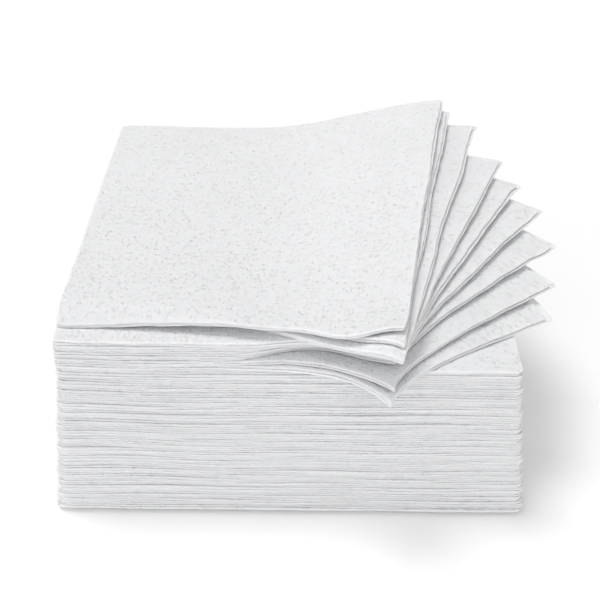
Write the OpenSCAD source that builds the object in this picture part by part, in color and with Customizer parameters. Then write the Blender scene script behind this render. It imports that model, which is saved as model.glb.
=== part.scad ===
// Stack of folded dry wipes: a square pressed pile with a fan of loose wipes on top.
// X runs left to right, Y front to back, Z up. The origin is the middle of the pile's
// footprint, on the surface that it stands on.

/* [Wipe] */
// Width of a folded wipe, from its fold at the left to its open side
wipe_w = 152.5; // [120:0.5:200]
// Depth of a folded wipe, front to back
wipe_d = 168; // [130:1:220]
// Thickness of one ply of the cloth
ply_t = 0.78; // [0.5:0.02:1.2]
// Air between one ply and the next
ply_gap = 0.1; // [0.04:0.02:0.3]
// Radius of a wipe's soft corners, seen from above
corner_r = 4; // [1:0.5:12]

/* [Pressed pile] */
// Number of wipes that lie square in the pile
pressed_count = 33; // [5:1:40]
// How far the lowest wipe's plies have slipped out at each side
spread = 4.5; // [0:0.5:8]
// How unevenly the wipes lie, each way
jog = 0.35; // [0:0.05:1.5]
// How unevenly the lowest wipes lie, each way
base_jog = 1.2; // [0:0.1:3]

/* [Fan] */
// Number of loose wipes on top
fan_count = 9; // [3:1:14]
// Place of the fan's front tips, right of the middle, as a share of the width
tip_place = 0.237; // [0.1:0.001:0.35]
// How far the lowest tip hangs out over the front
tip_out = 23; // [5:1:40]
// How much less the highest tip hangs out
tip_back = 13; // [0:1:18]
// How far in front of the pile the point lies about which the fan has been turned
pivot_out = 15; // [5:1:25]
// Turn of the highest wipe's right edge, in degrees clockwise from straight back
turn_high = 8.2; // [0:0.5:20]
// Turn of the lowest wipe's right edge
turn_low = 48.7; // [30:0.5:65]
// Length of the highest wipe's right edge, as a share of the depth
reach_high = 1.12; // [0.9:0.01:1.2]
// Length of the lowest wipe's right edge, as a share of the depth
reach_low = 0.44; // [0.3:0.01:0.7]
// How far the wipes have sprung apart at the fan's open side
spring_gap = 2; // [0.6:0.1:3]
// Share of that gap that is left at the back of the fold
fold_share = 0.2; // [0:0.05:0.6]
// How far a wipe's upper ply has drawn back from its lower one
ply_step = 2.2; // [0:0.1:4]
// How much of the extra gaps between the front tips is there
tip_lift = 1; // [0:0.1:1.5]

/* [Hidden] */
// A wipe and the air over it take up one step of the pile
wipe_t = 2 * ply_t + ply_gap;
step = wipe_t + ply_gap;
pile_h = pressed_count * step;

// The lowest wipe lies still more unevenly over this many steps
base_steps = 2;
// One value in [-1, 1] for each wipe and direction
jog_seed = 7;
jogs = rands(-1, 1, 2 * pressed_count, jog_seed);

// The fan's edges swing about this point, seen from above
tip_x = tip_place * wipe_w;
pivot = [tip_x, -wipe_d / 2 - pivot_out];
// How the turn falls off from the lowest wipe to the highest
turn_power = 1.5;
// No fan is quite even. Each list starts at the lowest wipe and holds what a wipe has
// more than the even row: turn in degrees, length of the right edge, gap under the tip
turn_nudge = [0, 0, 0, 0, 0, 1, 0, -0.8, 0];
reach_nudge = [0, -4, 0, 1, -3, -4, 8, 5, 0];
tip_gap = [0, 1.4, 2.6, 0.3, 0.3, 0.3, 0.3, 0.3, 1.2];
// Share of tip_back that a wipe's tip has drawn back
back_share = [0, 0.4, 1, 0.9, 0.8, 0.7, 0.6, 0.6, 1];
// Distance of the front left corner behind the pile's, and sharpness of the front edge's
// bend out to the tip
set_back = [0, 0, 0, 0, 0, 0, 24, 24, 8];
front_bend = [11, 8, 9, 8, 6.5, 6, 2.3, 2, 2.2];
// How far the front edge also draws back before the tip, so that the wipes below come to
// light, and the share of its length at which that starts
draw_back = [0, 2.5, 6.5, 3.5, 0, 0, 0, 0, -4];
draw_from = [0, 0.6, 0.6, 0.6, 0, 0, 0, 0, 0.68];
// Where a lower wipe is set back, those above it sink between these two distances in
// front of its edge
sink_from = 7;
sink_to = 17;
// How far left of the highest tip the lowest one lies
tip_sweep = 3;
// Width over which a lifted tip bends up
lift_width = 9;
// Distance from the tips over which the wipes part
part_length = 45;
// Share of the gap over a wipe that is between its own two plies
ply_share = 0.15;
// The wipes part between these two places, as shares of the width
part_from = -0.08;
part_to = 0.43;
// How far left an upper ply's back corner has slipped, for each step back
ply_slip = 0.5;
// How far the lowest wipe's right edge bows in, as a share of its length, and where most
edge_bow = 0.09;
bow_skew = 0.6;
// Direction in which the back edge of the lowest and of the highest wipe leaves its corner
back_turn_low = 19;
back_turn_high = 93;
// How long each end of the back edge keeps its direction, for the lowest and the highest
// wipe: at the fold as a share of the width, at the corner as a share of the edge
fold_arm_low = 0.66;
fold_arm_high = 0.36;
corner_arm_low = 0.55;
corner_arm_high = 0.3;

// Cells of a fanned ply, across and from front to back, and how they crowd to the tip
cells_x = 12;
cells_y = 10;
crowd_x = 1.3;
crowd_y = 1.6;

$fn = 48;
tiny = 0.01;
cloth = [0.93, 0.935, 0.94];

function two_digits(i) = str(i < 10 ? "0" : "", i);
function pressed_name(i) = str("pressed_wipe_", two_digits(i));
function fanned_name(j) = str("fanned_wipe_", two_digits(j));

function mix(a, b, s) = a + (b - a) * s;
function clamp01(s) = min(1, max(0, s));
function ease(s) = let (c = clamp01(s)) c * c * (3 - 2 * c);

// Seen from above: a rectangle with true round corners
module soft_rectangle(w, d) {
    square([w - 2 * corner_r, d], center = true);
    square([w, d - 2 * corner_r], center = true);
    for (x = [-1, 1], y = [-1, 1])
        translate([x * (w / 2 - corner_r), y * (d / 2 - corner_r)])
            circle(r = corner_r);
}

// Seen from the front: two plies that meet in a round fold at the left
module folded_section(w) {
    difference() {
        union() {
            translate([wipe_t / 2, 0]) square([w - wipe_t / 2, wipe_t]);
            translate([wipe_t / 2, wipe_t / 2]) circle(d = wipe_t);
        }
        translate([ply_t + ply_gap / 2, ply_t]) square([w, ply_gap]);
        translate([ply_t + ply_gap / 2, wipe_t / 2]) circle(d = ply_gap);
    }
}

// One pressed wipe, the first at the bottom
module pressed_wipe(i) {
    down = pressed_count - i;
    w = wipe_w + 2 * spread * down / (pressed_count - 1);
    sway = jog + (base_jog - jog) * exp(-(i - 1) / base_steps);
    color(cloth)
        translate([sway * jogs[2 * i - 2], sway * jogs[2 * i - 1], (i - 1) * step])
            intersection() {
                translate([-w / 2, 0, 0])
                    rotate([90, 0, 0])
                        linear_extrude(wipe_d + 2 * tiny, center = true) folded_section(w);
                linear_extrude(wipe_t) soft_rectangle(w, wipe_d);
            }
}

// Place of a fanned wipe in the fan: 0 for the lowest, 1 for the highest
function rank(j) = (j - 1) / (fan_count - 1);

// A wipe's entry in a list, which repeats where the fan has more wipes
function entry(list, j) = list[(j - 1) % len(list)];

// Turn and length of a fanned wipe's right edge
function turn(j) = mix(turn_high, turn_low, pow(1 - rank(j), turn_power)) + entry(turn_nudge, j);
function reach(j) = wipe_d * mix(reach_low, reach_high, (rank(j) + sin(90 * rank(j))) / 2)
    + entry(reach_nudge, j);

// The front tip, and the back right corner of ply 0, the lower one, or ply 1
function tip(j) =
    [tip_x - tip_sweep * pow(1 - rank(j), 3), -wipe_d / 2 - tip_out + tip_back * entry(back_share, j)];
function far_corner(j, ply) = let (a = turn(j), r = reach(j) - ply * ply_step)
    pivot + r * [sin(a), cos(a)] - ply * ply_step * [ply_slip, 0];

// The four edges of a fanned ply, seen from above, each for s or t from 0 to 1
fold_x = -wipe_w / 2 + wipe_t / 2;
function left_edge(j, t) = [fold_x, mix(-wipe_d / 2 + entry(set_back, j), wipe_d / 2, t)];
function drawn(j, s) = let (from = entry(draw_from, j))
    entry(draw_back, j) * pow(sin(180 * clamp01((s - from) / (1 - from))), 2);
function front_edge(j, s) = let (a = left_edge(j, 0), b = tip(j))
    [mix(a[0], b[0], s), mix(a[1], b[1], pow(s, entry(front_bend, j))) + drawn(j, s)];
function right_edge(j, ply, t) =
    let (a = tip(j), b = far_corner(j, ply), along = b - a,
         bow = edge_bow * pow(1 - rank(j), 2) * sin(180 * pow(t, bow_skew)))
    mix(a, b, t) + bow * [-along[1], along[0]];
function bezier(a, b, c, d, s) =
    pow(1 - s, 3) * a + 3 * pow(1 - s, 2) * s * b + 3 * (1 - s) * s * s * c + pow(s, 3) * d;
function back_edge(j, ply, s) =
    let (a = left_edge(j, 1), b = far_corner(j, ply),
         leave = mix(back_turn_low, back_turn_high, rank(j)),
         fold_arm = wipe_w * mix(fold_arm_low, fold_arm_high, rank(j)),
         corner_arm = norm(b - a) * mix(corner_arm_low, corner_arm_high, rank(j)))
    bezier(a, a + [fold_arm, 0], b + corner_arm * [-sin(leave), cos(leave)], b, s);

// A point of the ply between its four edges
function ply_point(j, ply, s, t) =
    mix(front_edge(j, s), back_edge(j, ply, s), t) + mix(left_edge(j, t), right_edge(j, ply, t), s)
    - mix(left_edge(j, t), mix(tip(j), far_corner(j, ply), t), s);

// How far the fan has sprung open over a place, from 0 to 1
function opening(p) =
    let (across = ease((p[0] / wipe_w - part_from) / (part_to - part_from)),
         back = ease(p[1] / wipe_d + 0.5))
    mix(fold_share * back, 1, across) * (1 - exp(-norm(p - pivot) / part_length));
// How many fanned wipes lie under wipe j at a place. One that is set back counts less and
// less in front of its edge
function front_y(j, x) = front_edge(j, clamp01((x - fold_x) / (tip(j)[0] - fold_x)))[1];
function presence(j, p) =
    entry(set_back, j) == 0 ? 1 : ease((sink_to - front_y(j, p[0]) + p[1]) / (sink_to - sink_from));
function wipes_below(j, p) = j == 1 ? 0 : presence(j - 1, p) + wipes_below(j - 1, p);
function tip_gaps(j) = entry(tip_gap, j) + (j > 1 ? tip_gaps(j - 1) : 0);
function tip_rise(p) = exp(-pow(norm(p - pivot) / lift_width, 2) / 2);

// Underside of a fanned ply over a place
function ply_z(j, ply, p) =
    pile_h + wipes_below(j, p) * step + ply * (ply_t + ply_gap)
    + spring_gap * opening(p) * (j - 1 + ply_share * (1 + ply))
    + tip_lift * tip_gaps(j) * tip_rise(p);
function ply_vertex(j, ply, s, t, up) =
    let (p = ply_point(j, ply, s, t)) [p[0], p[1], ply_z(j, ply, p) + up];

// Places of the cells' corners, as shares from the fold and from the front
function column(i) = 1 - pow(1 - i / cells_x, crowd_x);
function row(k) = pow(k / cells_y, crowd_y);

// One section of a fanned wipe: along its outside under the lower ply, back through the
// gap between the plies, and home over the upper ply to the fold
function section_ring(j, t) = concat(
    [for (i = [0:cells_x]) ply_vertex(j, 0, column(i), t, 0)],
    [for (i = [cells_x:-1:1]) ply_vertex(j, 0, column(i), t, ply_t)],
    [for (i = [1:cells_x]) ply_vertex(j, 1, column(i), t, 0)],
    [for (i = [cells_x:-1:0]) ply_vertex(j, 1, column(i), t, ply_t)],
    [let (p = left_edge(j, t)) [p[0] - wipe_t / 2, p[1], ply_z(j, 0, p) + wipe_t / 2]]);
ring_size = 4 * cells_x + 3;

// Triangles of the walls between two rings, and of the end at one ring
function wall_faces() = [for (k = [0:cells_y - 1], i = [0:ring_size - 1])
    let (n = (i + 1) % ring_size, a = k * ring_size, b = a + ring_size)
    each [[a + i, b + i, b + n], [a + i, b + n, a + n]]];
function strip_faces(low, high, count, flip) = [for (i = [0:count - 1])
    let (a = low + i, b = low + i + 1, c = high - i - 1, d = high - i)
    each (flip ? [[a, c, b], [a, d, c]] : [[a, b, c], [a, c, d]])];
function end_faces(k, flip) =
    let (o = k * ring_size, n = cells_x,
         fold = [o, o + 1, o + 2 * n, o + 2 * n + 1, o + 4 * n, o + 4 * n + 1, o + 4 * n + 2],
         hub = fold[6])
    concat(
        strip_faces(o + 1, o + 2 * n, n - 1, flip),
        strip_faces(o + 2 * n + 1, o + 4 * n, n - 1, flip),
        [for (i = [0:4]) flip ? [hub, fold[i + 1], fold[i]] : [hub, fold[i], fold[i + 1]]]);

// One fanned wipe, the first at the bottom
module fanned_wipe(j) {
    rings = [for (k = [0:cells_y]) each section_ring(j, row(k))];
    color(cloth)
        polyhedron(rings, concat(wall_faces(), end_faces(0, false), end_faces(cells_y, true)));
}

for (i = [1:pressed_count])
    pressed_wipe(i);
for (j = [1:fan_count])
    fanned_wipe(j);
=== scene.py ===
# %% [markdown]
# # A stack of folded dry wipes
#
# The real object is a block of soft white nonwoven cloths. Each cloth is folded in half, so it
# has two plies that meet in a round fold at the left. Most of them lie pressed on each other, and
# the top ones are loose and fan out at the right like a hand of cards.
#
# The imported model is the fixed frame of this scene. It says where each wipe is and how thick it
# is, so the cloth's sizes below are read from it. Only the fan's curves are written out again.

import bpy
import numpy as np
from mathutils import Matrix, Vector


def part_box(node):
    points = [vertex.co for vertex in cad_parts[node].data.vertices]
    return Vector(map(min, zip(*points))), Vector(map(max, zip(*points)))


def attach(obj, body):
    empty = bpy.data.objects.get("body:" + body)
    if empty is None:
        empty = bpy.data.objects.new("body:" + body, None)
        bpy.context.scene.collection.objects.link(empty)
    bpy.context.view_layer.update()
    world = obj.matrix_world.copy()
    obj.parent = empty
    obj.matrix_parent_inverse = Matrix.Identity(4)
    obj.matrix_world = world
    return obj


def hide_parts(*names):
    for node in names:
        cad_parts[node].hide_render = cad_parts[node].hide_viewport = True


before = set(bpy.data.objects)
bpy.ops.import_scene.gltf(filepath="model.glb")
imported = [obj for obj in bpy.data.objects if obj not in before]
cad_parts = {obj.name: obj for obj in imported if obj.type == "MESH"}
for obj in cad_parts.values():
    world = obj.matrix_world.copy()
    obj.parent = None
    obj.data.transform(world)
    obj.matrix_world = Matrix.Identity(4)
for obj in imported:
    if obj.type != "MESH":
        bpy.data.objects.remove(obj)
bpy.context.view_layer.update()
pressed_nodes = sorted(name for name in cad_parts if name.startswith("pressed"))
fanned_nodes = sorted(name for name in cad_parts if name.startswith("fanned"))
print(len(pressed_nodes), "pressed wipes and", len(fanned_nodes), "fanned ones")

# %% [markdown]
# ## Sizes from the frame
#
# The highest pressed wipe has the plain size of a folded wipe. The lowest two give the step from
# wipe to wipe. A step is two plies and two thin layers of air, which gives the cloth's thickness.

# %% Read the sizes
MM = 0.001
top_low, top_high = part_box(pressed_nodes[-1])
first_low, first_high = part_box(pressed_nodes[0])
second_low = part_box(pressed_nodes[1])[0]
WIPE_W = top_high.x - top_low.x
WIPE_D = top_high.y - top_low.y
WIPE_T = first_high.z - first_low.z
STEP = second_low.z - first_low.z
AIR = STEP - WIPE_T
PLY_T = (WIPE_T - AIR) / 2
PILE_TOP = len(pressed_nodes) * STEP
print("wipe", round(WIPE_W, 4), round(WIPE_D, 4), "ply", round(PLY_T, 5), "step", round(STEP, 5))

# %% [markdown]
# ## The camera first
#
# The camera stands where the photographer stood: a little above the stack, looking down by about
# thirty degrees through a longish lens. With the camera set first, every later step can be judged
# against the photograph at once.

# %% Place the camera
CAMERA_PLACE = Vector((9.3, -429.0, 275.7)) * MM
CAMERA_TARGET = Vector((2.8, -14.0, 45.6)) * MM
CAMERA_LENS = 75.4
camera_data = bpy.data.cameras.new("camera")
camera = bpy.data.objects.new("camera", camera_data)
bpy.context.scene.collection.objects.link(camera)
bpy.context.scene.camera = camera
camera.location = CAMERA_PLACE
view_direction = CAMERA_TARGET - camera.location
camera.rotation_euler = view_direction.to_track_quat("-Z", "Y").to_euler()
camera_data.lens = CAMERA_LENS
camera_data.sensor_width = 36
camera_data.clip_end = 100
print("camera looks down from", round(camera.location.z, 3), "m")

# %% [markdown]
# ## Small helpers
#
# Everything is laid out with two shares: `s` runs from the fold (0) to the open side (1), and `t`
# from the front (0) to the back (1). NumPy works on whole grids of them at once, which is much
# faster in Python than one point at a time.

# %% Helpers for shares and curves
def mix(first, second, share):
    return first + (second - first) * share


def ease(share):
    clamped = np.clip(share, 0, 1)
    return clamped * clamped * (3 - 2 * clamped)


def sine(degrees):
    return np.sin(np.radians(degrees))


def plan(x, y):
    return np.stack(np.broadcast_arrays(x, y), axis=-1).astype(float)


print("halfway eased:", float(ease(0.5)))

# %% [markdown]
# ## Unevenness without noise textures
#
# Real cloth is never quite flat or straight. A few sine waves with random directions add up to a
# soft, natural unevenness. The random numbers are seeded, so the scene is the same at each run.

# %% A soft random field
def soft_field(seed, size, waves=7):
    """A function of x, y and z that swings gently between about -1 and 1 over the given size."""
    random = np.random.default_rng(seed)
    directions = random.normal(size=(waves, 3))
    directions /= np.linalg.norm(directions, axis=1)[:, None]
    lengths = size * random.uniform(0.6, 1.6, waves)
    phases = random.uniform(0, 2 * np.pi, waves)

    def field(x, y, z):
        total = 0
        for (dx, dy, dz), length, phase in zip(directions, lengths, phases):
            total = total + np.sin(2 * np.pi * (dx * x + dy * y + dz * z) / length + phase)
        return total / np.sqrt(waves)

    return field


print("soft fields are ready, each with a seed of its own")

# %% [markdown]
# ## Sag and a lifted rim
#
# Soft cloths never lie quite level, so all plies share one sag, which keeps them parallel. The
# pile's rim also curls up from the floor, less and less towards the top. That leaves the thin
# shadow line that the photograph shows under the stack.

# %% The sag of the plies
SAG = 0.32 * MM
SAG_DRIFT = 1.5
SAG_START = 12 * MM
EDGE_LIFT = 0.6 * MM
LIFT_DEPTH = 8 * MM
sag_field = soft_field(3, 60 * MM)


def edge_lift(x, y, z):
    """How far a ply's rim curls up, which is most at the floor and nothing at the pile's top."""
    from_front = np.clip(y + WIPE_D / 2, 0, None)
    from_back = np.clip(WIPE_D / 2 - y, 0, None)
    from_side = np.clip(WIPE_W / 2 - np.abs(x), 0, None)
    nearest = np.minimum(np.minimum(from_front, from_back), from_side)
    share = max(1 - z / PILE_TOP, 0)
    return EDGE_LIFT * share * np.exp(-((nearest / LIFT_DEPTH) ** 2))


def sag(x, y, z):
    """How far a ply lies above or below its even place. It starts from nothing at the floor."""
    uneven = SAG * ease(z / SAG_START) * sag_field(x, y, z * SAG_DRIFT)
    return uneven + edge_lift(x, y, z)


print("sag at the middle of the pile:", round(float(sag(0, 0, 0.03)) / MM, 3), "mm")

# %% [markdown]
# ## One cloth, folded in half
#
# A wipe is one sheet that runs in along the lower ply, round the fold, and back out along the upper
# ply. So it can be made as a single grid: its columns follow that path, its rows run from front to
# back. The cloth's thickness comes from laying the grid twice, once pushed outwards and once
# inwards. At the free edges the two meet, with rows close together, so that each edge is a soft
# round bead. That bead is what catches the light in the stack's front.

# %% Where the grid lines lie
BEAD = 0.38 * PLY_T
INNER_BEAD = 0.3 * BEAD
BEAD_LINES = np.array([0, 0.05, 0.2, 0.5, 1]) * BEAD
CORNER_LINES = np.array([0.25, 0.5, 0.75, 1])
TINY = 1e-12


def grid_lines(length, cells, corner):
    """Shares from 0 to 1 with extra lines near both ends, for the bead and the round corner."""
    edge = np.concatenate([BEAD_LINES, BEAD + (corner - BEAD) * CORNER_LINES]) / length
    middle = np.linspace(edge[-1], 1 - edge[-1], cells + 1)[1:-1]
    return np.concatenate([edge, middle, 1 - edge[::-1]])


def bead_profile(distance, radius):
    """Share of the cloth's half thickness at a distance from a free edge."""
    inward = np.clip(distance / radius, 0, 1)
    return np.sqrt(1 - (1 - inward) ** 2)


def rounded(s, t, width, depth, corner):
    """Moves the shares near a corner so that a square corner becomes a round one."""
    across = np.minimum(s, 1 - s) * width
    along = np.minimum(t, 1 - t) * depth
    short_across = np.clip(corner - across, 0, None)
    short_along = np.clip(corner - along, 0, None)
    longest = np.maximum(np.maximum(short_across, short_along), TINY)
    slant = np.maximum(np.hypot(short_across, short_along), TINY)
    shrink = np.where((short_across > 0) & (short_along > 0), longest / slant, 1)
    new_across = np.where(across < corner, corner - short_across * shrink, across)
    new_along = np.where(along < corner, corner - short_along * shrink, along)
    new_s = np.where(s < 0.5, new_across / width, 1 - new_across / width)
    new_t = np.where(t < 0.5, new_along / depth, 1 - new_along / depth)
    return new_s, new_t


print("bead radius", round(BEAD / MM, 3), "mm")

# %% [markdown]
# ## The edges of a cloth
#
# In the photograph no ply ends exactly over the next one. Some stick out by a fraction of a
# millimetre and catch the light, others are drawn back into shadow, and that changes along the
# edge. Two soft fields move each edge in and out: a slow one for the cut, a quick one for fluff.
# The move fades out inwards, so that only the rim of the cloth follows it.

# %% How the edges wander
EDGE_DEPTH = 7 * MM
slow_edge = soft_field(11, 46 * MM)
quick_edge = soft_field(12, 9 * MM)
WIPE_APART = 38 * MM
PLY_APART = 6 * MM
SLOW_SHARE = 0.75
QUICK_SHARE = 0.3
FRONT_SIDE, BACK_SIDE, OPEN_SIDE, FOLD_SIDE = 0.0, 0.5, 1.0, 1.5


def wander(along, wipe, ply, side, amount):
    """How far an edge moves out at a place along it. A wipe's two plies move nearly alike."""
    level = wipe * WIPE_APART + ply * PLY_APART
    slow = slow_edge(along, side, level)
    quick = quick_edge(along, side, level)
    return amount * (SLOW_SHARE * slow + QUICK_SHARE * quick)


def near_edge(share, length):
    """1 at the edge where the share is 0, fading out inwards over the edge's depth."""
    return np.exp(-share * length / EDGE_DEPTH)


print("edge moves by", round(float(wander(0.01, 1, 0, 0.0, 0.3)), 3), "mm")

# %% [markdown]
# ## From grid to mesh
#
# `fold_cloth` does the common work for every wipe. It is given two small functions: where a point
# of a ply lies seen from above, and how high. It adds the fold, the thickness and the UV map. The
# UV map holds the place on the unfolded cloth in metres, so that the embossing follows the cloth.

# %% Fold a cloth
FOLD_STEPS = 6
FOLD_RADIUS = (PLY_T + AIR) / 2
all_triangles = {}


def strip_path(columns):
    """Ply, share and fold angle of each column, from the lower free edge round to the upper one."""
    down = columns[::-1]
    turn = np.linspace(0, np.pi, FOLD_STEPS + 1)[1:-1]
    ply = np.concatenate([np.zeros(len(down)), 0.5 * np.ones(len(turn)), np.ones(len(columns))])
    share = np.concatenate([down, np.zeros(len(turn)), columns])
    angle = np.concatenate([np.zeros(len(down)), turn, np.pi * np.ones(len(columns))])
    return ply, share, angle


def fold_cloth(name, place, height, size, cells, corner, pattern_shift):
    """Makes one wipe. place(ply, s, t) gives x and y, height(ply, x, y) the ply's middle."""
    width, depth = size
    columns = grid_lines(width, cells[0], corner)
    rows = grid_lines(depth, cells[1], corner)
    ply, share, angle = strip_path(columns)
    s_grid, t_grid = np.meshgrid(share, rows)
    s_round, t_round = rounded(s_grid, t_grid, width, depth, corner)

    lower = place(0, s_round, t_round)
    upper = place(1, s_round, t_round)
    lower_z = height(0, lower[..., 0], lower[..., 1])
    upper_z = height(1, upper[..., 0], upper[..., 1])
    in_fold = (ply == 0.5)[None, :]
    xy = np.where((ply < 1)[None, :, None], lower, upper)
    z = np.where((ply < 1)[None, :], lower_z, upper_z)
    x = xy[..., 0] - np.where(in_fold, FOLD_RADIUS * np.sin(angle)[None, :], 0)
    z = z + np.where(in_fold, FOLD_RADIUS * (1 - np.cos(angle))[None, :], 0)

    skins = []
    for side, radius in ((1, BEAD), (-1, INNER_BEAD)):
        half = side * PLY_T / 2 * bead_profile((1 - s_grid) * width, radius)
        half = half * bead_profile(t_grid * depth, radius)
        half = half * bead_profile((1 - t_grid) * depth, radius)
        push_x = -np.where(in_fold, np.sin(angle)[None, :], 0) * half
        push_z = -np.cos(angle)[None, :] * half
        skins.append(np.stack([x + push_x, xy[..., 1], z + push_z], axis=-1))

    along_cloth = np.where(ply < 0.5, -share, share) * width + pattern_shift[0]
    uv = plan(np.broadcast_to(along_cloth, s_grid.shape), t_grid * depth + pattern_shift[1])
    return skin(name, skins[0], skins[1], uv)


print("fold radius", round(FOLD_RADIUS / MM, 3), "mm")

# %% [markdown]
# ## Two skins, one closed mesh
#
# The outer and inner grids share their rim, so the mesh is closed like the real cloth. The inner
# grid's faces are wound the other way, so that all normals point out.

# %% Join the two skins
def skin(name, outer, inner, uv):
    """Joins an outer and an inner grid of points into one closed mesh with a UV map."""
    row_count, column_count = outer.shape[:2]
    index_out = np.arange(row_count * column_count).reshape(row_count, column_count)
    index_in = index_out.copy()
    index_in[1:-1, 1:-1] = row_count * column_count + np.arange(
        (row_count - 2) * (column_count - 2)
    ).reshape(row_count - 2, column_count - 2)
    points = np.concatenate([outer.reshape(-1, 3), inner[1:-1, 1:-1].reshape(-1, 3)])

    def quads(index):
        corners = [index[:-1, :-1], index[:-1, 1:], index[1:, 1:], index[1:, :-1]]
        return np.stack(corners, axis=-1).reshape(-1, 4)

    faces = np.concatenate([quads(index_out), quads(index_in)[:, ::-1]])
    mesh = bpy.data.meshes.new(name)
    mesh.from_pydata(points.tolist(), [], faces.tolist())
    flat_uv = np.concatenate([uv.reshape(-1, 2), uv[1:-1, 1:-1].reshape(-1, 2)])
    layer = mesh.uv_layers.new(name="cloth")
    loops = np.empty(len(mesh.loops), dtype=int)
    mesh.loops.foreach_get("vertex_index", loops)
    layer.data.foreach_set("uv", flat_uv[loops].astype(np.float32).ravel())
    mesh.shade_smooth()
    mesh.validate()
    piece = bpy.data.objects.new(name, mesh)
    bpy.context.scene.collection.objects.link(piece)
    all_triangles[name] = 2 * len(faces)
    return piece


print("ready to make cloths")

# %% [markdown]
# ## The cloth's material
#
# Dry wipes are made of fibres that are blown and pressed together and embossed with short dents.
# Four things show that: a soft white surface that light sinks into a little, a trace of sheen, a
# fine bump of fibre tufts, and scattered marks. The marks come from a Voronoi texture: each cell
# gets one, turned by the cell's random colour. They use the UV map, so they lie in the cloth.

# %% Node helpers
def add_node(tree, kind, **settings):
    node = tree.nodes.new(kind)
    for key, value in settings.items():
        setattr(node, key, value)
    return node


def math_node(tree, operation, first, second=None):
    node = add_node(tree, "ShaderNodeMath", operation=operation)
    for socket, value in zip(node.inputs, (first, second)):
        if value is None:
            continue
        if isinstance(value, (int, float)):
            socket.default_value = value
        else:
            tree.links.new(value, socket)
    return node.outputs[0]


print("node helpers ready")

# %% [markdown]
# A mark is a small oval round the middle of a cell. The distance to the middle is turned and
# stretched, which makes the oval, and then faded smoothly from 1 in the middle to 0 outside.

# %% Marks of the embossing
CELL_RANDOMNESS = 0.85
WEAKEST_MARK = 0.3


def mark_mask(tree, uv, spacing, length, width, share):
    """1 in the middle of a mark and 0 outside. Length and width are shares of the spacing."""
    scaled = add_node(tree, "ShaderNodeVectorMath", operation="SCALE")
    tree.links.new(uv, scaled.inputs[0])
    scaled.inputs["Scale"].default_value = 1 / spacing
    cells = add_node(tree, "ShaderNodeTexVoronoi", voronoi_dimensions="2D", feature="F1")
    cells.inputs["Scale"].default_value = 1
    cells.inputs["Randomness"].default_value = CELL_RANDOMNESS
    tree.links.new(scaled.outputs[0], cells.inputs["Vector"])
    offset = add_node(tree, "ShaderNodeVectorMath", operation="SUBTRACT")
    tree.links.new(scaled.outputs[0], offset.inputs[0])
    tree.links.new(cells.outputs["Position"], offset.inputs[1])
    chance = add_node(tree, "ShaderNodeSeparateColor")
    tree.links.new(cells.outputs["Color"], chance.inputs[0])
    turn = math_node(tree, "MULTIPLY", chance.outputs["Red"], 2 * np.pi)
    turned = add_node(tree, "ShaderNodeVectorRotate", rotation_type="Z_AXIS")
    tree.links.new(offset.outputs[0], turned.inputs["Vector"])
    tree.links.new(turn, turned.inputs["Angle"])
    stretched = add_node(tree, "ShaderNodeVectorMath", operation="DIVIDE")
    tree.links.new(turned.outputs[0], stretched.inputs[0])
    stretched.inputs[1].default_value = (length, width, 1)
    distance = add_node(tree, "ShaderNodeVectorMath", operation="LENGTH")
    tree.links.new(stretched.outputs[0], distance.inputs[0])
    bowl = add_node(tree, "ShaderNodeMapRange", interpolation_type="SMOOTHSTEP")
    tree.links.new(distance.outputs["Value"], bowl.inputs["Value"])
    bowl.inputs["To Min"].default_value = 1
    bowl.inputs["To Max"].default_value = 0
    there = math_node(tree, "LESS_THAN", chance.outputs["Green"], share)
    strength = math_node(tree, "MULTIPLY_ADD", chance.outputs["Blue"], 1 - WEAKEST_MARK)
    strength.node.inputs[2].default_value = WEAKEST_MARK
    weight = math_node(tree, "MULTIPLY", there, strength)
    return math_node(tree, "MULTIPLY", bowl.outputs["Result"], weight)


print("marks are made from a Voronoi texture's cells")

# %% [markdown]
# The long marks are pressed in and the small ones stand out as pills. Both fade out where the
# cloth stands upright, because the cut edges in the stack's front show none.

# %% The whole cloth material
CLOTH_COLOUR = (0.865, 0.872, 0.886, 1)
SHADE_COLOUR = (0.845, 0.847, 0.855, 1)
LONG_DENTS = {"spacing": 3.6 * MM, "length": 0.4, "width": 0.28, "share": 0.6}
SMALL_PILLS = {"spacing": 2.1 * MM, "length": 0.42, "width": 0.34, "share": 0.45}
PILL_HEIGHT = 0.8
FLAT_POWER = 3
CLOUD_SIZE = 16 * MM
TUFT_SIZE = 2.6 * MM
TUFT_BUMP = 0.5 * MM
DENT_BUMP = 0.5 * MM
DENT_CLEARING = 0.5
LIGHT_DEPTH = 1.6 * MM


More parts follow.
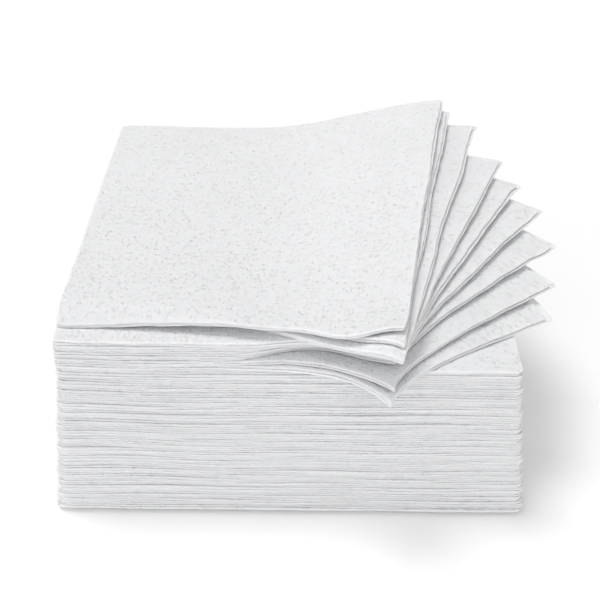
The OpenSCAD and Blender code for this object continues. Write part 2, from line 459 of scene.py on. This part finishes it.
def cloth_material(name):
    material = bpy.data.materials.new(name)
    material.use_nodes = True
    tree = material.node_tree
    tree.nodes.clear()
    output = add_node(tree, "ShaderNodeOutputMaterial")
    shader = add_node(tree, "ShaderNodeBsdfPrincipled")
    tree.links.new(shader.outputs[0], output.inputs["Surface"])
    shader.inputs["Roughness"].default_value = 0.95
    shader.inputs["Specular IOR Level"].default_value = 0.15
    shader.inputs["Sheen Weight"].default_value = 0.1
    shader.inputs["Sheen Roughness"].default_value = 0.6
    shader.inputs["Subsurface Weight"].default_value = 0.8
    shader.inputs["Subsurface Radius"].default_value = (1, 1, 0.95)
    shader.inputs["Subsurface Scale"].default_value = LIGHT_DEPTH

    place = add_node(tree, "ShaderNodeTexCoord")
    long_dents = mark_mask(tree, place.outputs["UV"], **LONG_DENTS)
    small_pills = mark_mask(tree, place.outputs["UV"], **SMALL_PILLS)
    raised = math_node(tree, "MULTIPLY", small_pills, PILL_HEIGHT)
    both_marks = math_node(tree, "SUBTRACT", long_dents, raised)
    geometry = add_node(tree, "ShaderNodeNewGeometry")
    normal_parts = add_node(tree, "ShaderNodeSeparateXYZ")
    tree.links.new(geometry.outputs["Normal"], normal_parts.inputs[0])
    upward = math_node(tree, "ABSOLUTE", normal_parts.outputs["Z"])
    flatness = math_node(tree, "POWER", upward, FLAT_POWER)
    marks = math_node(tree, "MULTIPLY", both_marks, flatness)
    clouds = add_node(tree, "ShaderNodeTexNoise")
    clouds.inputs["Scale"].default_value = 1 / CLOUD_SIZE
    clouds.inputs["Detail"].default_value = 3
    tree.links.new(place.outputs["UV"], clouds.inputs["Vector"])
    tufts = add_node(tree, "ShaderNodeTexNoise")
    tufts.inputs["Scale"].default_value = 1 / TUFT_SIZE
    tufts.inputs["Detail"].default_value = 5
    tufts.inputs["Roughness"].default_value = 0.6
    tree.links.new(place.outputs["Object"], tufts.inputs["Vector"])

    cloudy = add_node(tree, "ShaderNodeMix", data_type="RGBA")
    cloudy.inputs["A"].default_value = CLOTH_COLOUR
    cloudy.inputs["B"].default_value = SHADE_COLOUR
    tree.links.new(clouds.outputs["Fac"], cloudy.inputs["Factor"])
    clear = add_node(tree, "ShaderNodeMix", data_type="RGBA")
    clear.inputs["B"].default_value = CLOTH_COLOUR
    tree.links.new(cloudy.outputs["Result"], clear.inputs["A"])
    clearing = math_node(tree, "MULTIPLY", marks, DENT_CLEARING)
    tree.links.new(clearing, clear.inputs["Factor"])
    tree.links.new(clear.outputs["Result"], shader.inputs["Base Color"])

    tuft_bump = add_node(tree, "ShaderNodeBump")
    tuft_bump.inputs["Strength"].default_value = 1
    tuft_bump.inputs["Distance"].default_value = TUFT_BUMP
    tree.links.new(tufts.outputs["Fac"], tuft_bump.inputs["Height"])
    mark_bump = add_node(tree, "ShaderNodeBump", invert=True)
    mark_bump.inputs["Strength"].default_value = 1
    mark_bump.inputs["Distance"].default_value = DENT_BUMP
    tree.links.new(marks, mark_bump.inputs["Height"])
    tree.links.new(tuft_bump.outputs[0], mark_bump.inputs["Normal"])
    tree.links.new(mark_bump.outputs[0], shader.inputs["Normal"])
    return material


cloth = cloth_material("nonwoven_cloth")
print("cloth material has", len(cloth.node_tree.nodes), "nodes")

# %% [markdown]
# ## Common last steps for every wipe
#
# Each wipe rides on the model's only body, stands for its CAD node and takes the cloth's slot. A
# wipe was cut about twice as wide as it looks, because it is folded.


def dress(piece, node):
    piece.data.materials.append(cloth)
    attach(piece, "root")
    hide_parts(node)


# %% [markdown]
# ## The pressed pile
#
# Each pressed wipe fills its own CAD box, which already holds the small slips from wipe to wipe.
# The plan is a rectangle whose free edges wander a little, more at the open right side than at
# the fold. All plies share one sag field, so that they stay parallel and never cross. The very
# lowest ply is drawn back a little at the front, where the photograph has its thin dark line.

# %% Make the pressed wipes
PRESSED_CELLS = (26, 22)
PRESSED_CORNER = 2.8 * MM
FRONT_WANDER = 0.34 * MM
RIGHT_WANDER = 0.5 * MM
FOLD_WANDER = 0.3 * MM
LOWEST_BACK = 2.2 * MM
PATTERN_STEP = (0.41, 0.23)


def pressed_wipe(node, number):
    low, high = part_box(node)
    base = number * STEP
    width = high.x - low.x - WIPE_T / 2
    fold_line = low.x + WIPE_T / 2

    def place(ply, s, t):
        x = fold_line + s * width
        y = mix(low.y, high.y, t)
        front_out = wander(x, number, ply, FRONT_SIDE, FRONT_WANDER)
        back_out = wander(x, number, ply, BACK_SIDE, FRONT_WANDER)
        open_out = wander(y, number, ply, OPEN_SIDE, RIGHT_WANDER)
        fold_out = wander(y, number, 0, FOLD_SIDE, FOLD_WANDER)
        if number == 0 and ply == 0:
            front_out = front_out - LOWEST_BACK
        new_y = y - near_edge(t, WIPE_D) * front_out + near_edge(1 - t, WIPE_D) * back_out
        new_x = x + near_edge(1 - s, width) * open_out - near_edge(s, width) * fold_out
        return plan(new_x, new_y)

    def height(ply, x, y):
        even = base + PLY_T / 2 + ply * (PLY_T + AIR)
        return even + sag(x, y, base + ply * PLY_T)

    shift = (PATTERN_STEP[0] * number, PATTERN_STEP[1] * number)
    size = (width, WIPE_D)
    return fold_cloth("cloth_" + node, place, height, size, PRESSED_CELLS, PRESSED_CORNER, shift)


for number, node in enumerate(pressed_nodes):
    piece = pressed_wipe(node, number)
    dress(piece, node)
print("pressed wipes:", sum(all_triangles.values()), "triangles")

# %% [markdown]
# ## The fan, seen from above
#
# The fanned wipes keep their folds in line at the left. At the right they have been turned about
# a point near the front, each by a little more than the one above it. Each ply is a patch between
# four edge curves. They are the curves of the CAD source, worked out again here, with the front
# edges and tips set a few millimetres closer to the photograph.
#
# The turns are in degrees. Each list has an entry for each wipe, the lowest first, and the lists
# `REACH_NUDGE`, `TIP_GAP`, `SET_BACK` and `DRAW_BACK` are in millimetres.

# %% The fan's values
FAN_COUNT = len(fanned_nodes)
TIP_X = 0.237 * WIPE_W
TIP_OUT = 23 * MM
TIP_BACK = 13 * MM
TIP_SWEEP = 3 * MM
PIVOT = np.array([TIP_X, -WIPE_D / 2 - 15 * MM])
TURN_HIGH = 8.2
TURN_LOW = 48.7
TURN_POWER = 1.5
REACH_HIGH = 1.12 * WIPE_D
REACH_LOW = 0.44 * WIPE_D
TURN_NUDGE = [0, 0, 0, 0, 0, 1, 0, -0.8, 0]
REACH_NUDGE = [0, -4, 0, 1, -3, -4, 8, 5, 0]
TIP_GAP = [0, 1.4, 2.6, 0.3, 0.3, 0.3, 0.3, 0.3, 1.2]
BACK_SHARE = [0, 0.4, 1.25, 1, 0.75, 0.5, 0.1, 0.58, 1]
SET_BACK = [0, 0, 0, 0, 0, 0, 24, 24, 8]
FRONT_BEND = [9, 7, 9, 8, 6.5, 6, 1.9, 1.8, 2.2]
DRAW_BACK = [0, 2, 7, 6, 4.5, 3, 0, 0, -4]
DRAW_FROM = [0, 0.5, 0.5, 0.5, 0.5, 0.5, 0, 0, 0.68]
SINK_FROM = 7 * MM
SINK_TO = 17 * MM
PLY_STEP = 2.2 * MM
PLY_SLIP = 0.5
EDGE_BOW = 0.09
BOW_SKEW = 0.6
BACK_TURN = (19, 93)
FOLD_ARM = (0.66, 0.36)
CORNER_ARM = (0.55, 0.3)
print("the fan turns about", [round(float(v), 4) for v in PIVOT])

# %% [markdown]
# A wipe's right edge runs from its tip in front to its far corner at the back. The turn and the
# length change smoothly from the lowest wipe to the highest, and some get a small nudge.

# %% Turn and length of each wipe's right edge
def rank(wipe):
    """0 for the lowest fanned wipe, 1 for the highest."""
    return wipe / (FAN_COUNT - 1)


def entry(values, wipe):
    return values[wipe % len(values)]


def tip(wipe):
    x = TIP_X - TIP_SWEEP * (1 - rank(wipe)) ** 3
    return np.array([x, -WIPE_D / 2 - TIP_OUT + TIP_BACK * entry(BACK_SHARE, wipe)])


def far_corner(wipe, ply):
    turn = mix(TURN_HIGH, TURN_LOW, (1 - rank(wipe)) ** TURN_POWER) + entry(TURN_NUDGE, wipe)
    even = mix(REACH_LOW, REACH_HIGH, (rank(wipe) + sine(90 * rank(wipe))) / 2)
    length = even + entry(REACH_NUDGE, wipe) * MM - ply * PLY_STEP
    direction = np.array([sine(turn), sine(90 - turn)])
    return PIVOT + length * direction - ply * PLY_STEP * np.array([PLY_SLIP, 0])


print("tips at y", [round(float(tip(wipe)[1]) / MM, 1) for wipe in range(FAN_COUNT)])

# %% [markdown]
# The left edge is the fold. The front edge bends out to the tip and the right edge bows a
# little. The back edge is a Bezier curve from the end of the fold to the far corner.

# %% The four edges of a fanned ply
FOLD_X = -WIPE_W / 2 + WIPE_T / 2


def left_edge(wipe, t):
    front = -WIPE_D / 2 + entry(SET_BACK, wipe) * MM
    return plan(FOLD_X, mix(front, WIPE_D / 2, t))


def drawn_back(wipe, s):
    leave = entry(DRAW_FROM, wipe)
    share = np.clip((s - leave) / (1 - leave), 0, 1)
    return entry(DRAW_BACK, wipe) * MM * sine(180 * share) ** 2


def front_edge(wipe, s):
    start = left_edge(wipe, 0)
    end = tip(wipe)
    y = mix(start[1], end[1], s ** entry(FRONT_BEND, wipe)) + drawn_back(wipe, s)
    return plan(mix(start[0], end[0], s), y)


def right_edge(wipe, ply, t):
    start = tip(wipe)
    end = far_corner(wipe, ply)
    along = end - start
    bow = EDGE_BOW * (1 - rank(wipe)) ** 2 * sine(180 * t ** BOW_SKEW)
    return plan(mix(start[0], end[0], t) - bow * along[1], mix(start[1], end[1], t) + bow * along[0])


def back_edge(wipe, ply, s):
    start = left_edge(wipe, 1)
    end = far_corner(wipe, ply)
    leave = mix(*BACK_TURN, rank(wipe))
    fold_arm = WIPE_W * mix(*FOLD_ARM, rank(wipe))
    corner_arm = np.linalg.norm(end - start) * mix(*CORNER_ARM, rank(wipe))
    first = start + np.array([fold_arm, 0])
    second = end + corner_arm * np.array([-sine(leave), sine(90 - leave)])
    u = np.asarray(s)[..., None]
    near = (1 - u) ** 3 * start + 3 * (1 - u) ** 2 * u * first
    return near + 3 * (1 - u) * u ** 2 * second + u ** 3 * end


print("back corner of the top wipe:", far_corner(FAN_COUNT - 1, 1).round(4))

# %% [markdown]
# A patch between four edges is a Coons patch: add the two ruled surfaces between opposite edges,
# and take away the one between the four corners, which has been counted twice.

# %% A point of a fanned ply
def fan_point(wipe, ply, s, t):
    share_s = np.asarray(s)[..., None]
    share_t = np.asarray(t)[..., None]
    between_ends = mix(front_edge(wipe, s), back_edge(wipe, ply, s), share_t)
    between_sides = mix(left_edge(wipe, t), right_edge(wipe, ply, t), share_s)
    corners = mix(left_edge(wipe, t), mix(tip(wipe), far_corner(wipe, ply), share_t), share_s)
    return between_ends + between_sides - corners


middle = fan_point(FAN_COUNT - 1, 1, np.array(0.5), np.array(0.5))
print("middle of the top wipe:", middle.round(4))

# %% [markdown]
# ## The fan's height
#
# All fanned plies share one height field. It has sprung open towards the free corners, so the
# air between the plies grows there, and each ply keeps its own level in it. That way the cloths
# bend together and can't pass through each other. A faint ripple goes through the open part.

# %% How high a fanned ply lies
SPRING_GAP = 2 * MM
FOLD_SHARE = 0.2
PLY_SHARE = 0.15
PART_FROM = -0.08
PART_TO = 0.43
PART_LENGTH = 45 * MM
LIFT_WIDTH = 9 * MM
RIPPLE = 0.4 * MM
RIPPLE_DRIFT = 0.5
ripple_field = soft_field(21, 26 * MM)


def front_y(wipe, x):
    share = np.clip((x - FOLD_X) / (tip(wipe)[0] - FOLD_X), 0, 1)
    return front_edge(wipe, share)[..., 1]


def presence(wipe, x, y):
    """1 where a wipe lies under the place, less and less in front of one that is set back."""
    if entry(SET_BACK, wipe) == 0:
        return 1
    return ease((SINK_TO - front_y(wipe, x) + y) / (SINK_TO - SINK_FROM))


def opening(x, y):
    """How far the fan has sprung open at a place: 0 at the pivot, 1 at the free corners."""
    across = ease((x / WIPE_W - PART_FROM) / (PART_TO - PART_FROM))
    back = ease(y / WIPE_D + 0.5)
    from_pivot = np.hypot(x - PIVOT[0], y - PIVOT[1])
    return mix(FOLD_SHARE * back, 1, across) * (1 - np.exp(-from_pivot / PART_LENGTH))


def fan_height(wipe, ply, x, y):
    below_count = sum(presence(lower, x, y) for lower in range(wipe))
    from_pivot = np.hypot(x - PIVOT[0], y - PIVOT[1])
    tip_rise = np.exp(-((from_pivot / LIFT_WIDTH) ** 2) / 2)
    tip_gaps = sum(entry(TIP_GAP, lower) for lower in range(wipe + 1)) * MM
    level = PILE_TOP + below_count * STEP + ply * (PLY_T + AIR) + PLY_T / 2
    sprung = SPRING_GAP * opening(x, y) * (wipe + PLY_SHARE * (1 + ply))
    even = level + sprung + tip_gaps * tip_rise
    ripple = RIPPLE * opening(x, y) * ripple_field(x, y, even * RIPPLE_DRIFT)
    return even + ripple + sag(x, y, PILE_TOP + (wipe + ply / 2) * STEP)


print("top of the fan:", round(float(fan_height(FAN_COUNT - 1, 1, 0.06, 0.08)), 4), "m")

# %% [markdown]
# ## Make the fanned wipes
#
# The fanned wipes use the same cloth maker as the pressed ones, with a finer grid, because their
# curved faces and edges are seen from above.

# %% Make the fan
FAN_CELLS = (44, 46)
FAN_CORNER = 1.6 * MM
FAN_WANDER = 0.5 * MM
FAN_PATTERN_STEP = (0.37, 0.19)
FAN_PATTERN_START = (0.1, 0.07)


def fanned_wipe(node, wipe):
    def place(ply, s, t):
        point = fan_point(wipe, ply, s, t)
        x = point[..., 0]
        y = point[..., 1]
        level = len(pressed_nodes) + wipe
        front_out = wander(x, level, ply, FRONT_SIDE, FAN_WANDER)
        open_out = wander(y, level, ply, OPEN_SIDE, FAN_WANDER)
        new_y = y - near_edge(t, WIPE_D) * front_out
        new_x = x + near_edge(1 - s, WIPE_W) * open_out
        return plan(new_x, new_y)

    def height(ply, x, y):
        return fan_height(wipe, ply, x, y)

    shift_x = FAN_PATTERN_STEP[0] * wipe + FAN_PATTERN_START[0]
    shift_y = FAN_PATTERN_STEP[1] * wipe + FAN_PATTERN_START[1]
    size = (WIPE_W, WIPE_D)
    shift = (shift_x, shift_y)
    return fold_cloth("cloth_" + node, place, height, size, FAN_CELLS, FAN_CORNER, shift)


for wipe, node in enumerate(fanned_nodes):
    piece = fanned_wipe(node, wipe)
    dress(piece, node)
print("all wipes:", sum(all_triangles.values()), "triangles")

# %% [markdown]
# ## The floor
#
# The photograph has a seamless white ground that keeps only the stack's soft shadow. A very pale
# diffuse floor does most of it. A little glow that only the camera sees takes it to full white,
# without any more light on the cloth.

# %% Lay the floor
FLOOR_SIDE = 60
FLOOR_WHITE = (0.96, 0.96, 0.96, 1)
FLOOR_GLOW = 0.06
floor_mesh = bpy.data.meshes.new("floor")
half_floor = FLOOR_SIDE / 2
floor_corners = [(-half_floor, -half_floor, 0), (half_floor, -half_floor, 0)]
floor_corners += [(half_floor, half_floor, 0), (-half_floor, half_floor, 0)]
floor_mesh.from_pydata(floor_corners, [], [(0, 1, 2, 3)])
floor = bpy.data.objects.new("floor", floor_mesh)
bpy.context.scene.collection.objects.link(floor)
floor_paint = bpy.data.materials.new("white_ground")
floor_paint.use_nodes = True
floor_tree = floor_paint.node_tree
floor_tree.nodes.clear()
floor_output = add_node(floor_tree, "ShaderNodeOutputMaterial")
floor_diffuse = add_node(floor_tree, "ShaderNodeBsdfDiffuse")
floor_diffuse.inputs["Color"].default_value = FLOOR_WHITE
floor_glow = add_node(floor_tree, "ShaderNodeEmission")
light_path = add_node(floor_tree, "ShaderNodeLightPath")
glow_strength = math_node(floor_tree, "MULTIPLY", light_path.outputs["Is Camera Ray"], FLOOR_GLOW)
floor_tree.links.new(glow_strength, floor_glow.inputs["Strength"])
floor_sum = add_node(floor_tree, "ShaderNodeAddShader")
floor_tree.links.new(floor_diffuse.outputs[0], floor_sum.inputs[0])
floor_tree.links.new(floor_glow.outputs[0], floor_sum.inputs[1])
floor_tree.links.new(floor_sum.outputs[0], floor_output.inputs["Surface"])
floor_mesh.materials.append(floor_paint)
print("floor", FLOOR_SIDE, "m wide")

# %% [markdown]
# ## Light
#
# The photograph is lit like a product shot, with white light from all round. The key lamp stands
# high above, a little to the left and behind, so the top is brightest and a short soft shadow
# falls to the right and the front. A very wide fill lamp in front keeps the gaps between the
# cloths pale, and a weak side lamp brightens the folds at the left.

# %% Set the light
WORLD_STRENGTH = 0.4
world = bpy.data.worlds.new("studio")
bpy.context.scene.world = world
world.use_nodes = True
world_tree = world.node_tree
world_tree.nodes.clear()
world_output = add_node(world_tree, "ShaderNodeOutputWorld")
sky = add_node(world_tree, "ShaderNodeBackground")
backdrop = add_node(world_tree, "ShaderNodeBackground")
sky.inputs["Strength"].default_value = WORLD_STRENGTH
backdrop.inputs["Strength"].default_value = 1
sky.inputs["Color"].default_value = (1, 1, 1, 1)
backdrop.inputs["Color"].default_value = (1, 1, 1, 1)
world_path = add_node(world_tree, "ShaderNodeLightPath")
world_mix = add_node(world_tree, "ShaderNodeMixShader")
seen = math_node(
    world_tree,
    "MAXIMUM",
    world_path.outputs["Is Camera Ray"],
    world_path.outputs["Is Glossy Ray"],
)
world_tree.links.new(seen, world_mix.inputs["Fac"])
world_tree.links.new(sky.outputs[0], world_mix.inputs[1])
world_tree.links.new(backdrop.outputs[0], world_mix.inputs[2])
world_tree.links.new(world_mix.outputs[0], world_output.inputs["Surface"])


def soft_sun(name, towards, strength, spread):
    """An even soft light. towards points from light to object, spread is its width in degrees."""
    lamp = bpy.data.lights.new(name, "SUN")
    lamp.energy = strength
    lamp.angle = np.radians(spread)
    piece = bpy.data.objects.new(name, lamp)
    bpy.context.scene.collection.objects.link(piece)
    piece.location = -Vector(towards)
    piece.rotation_euler = Vector(towards).to_track_quat("-Z", "Y").to_euler()
    return piece


key_lamp = soft_sun("key_lamp", towards=(0.24, -0.17, -1.0), strength=1.27, spread=25)
fill_lamp = soft_sun("fill_lamp", towards=(0.1, 1.0, -0.45), strength=1.35, spread=90)
side_lamp = soft_sun("side_lamp", towards=(1.0, 0.2, -0.25), strength=0.4, spread=60)
bpy.context.scene.view_settings.view_transform = "Standard"
print("lamps:", key_lamp.name, fill_lamp.name, side_lamp.name)
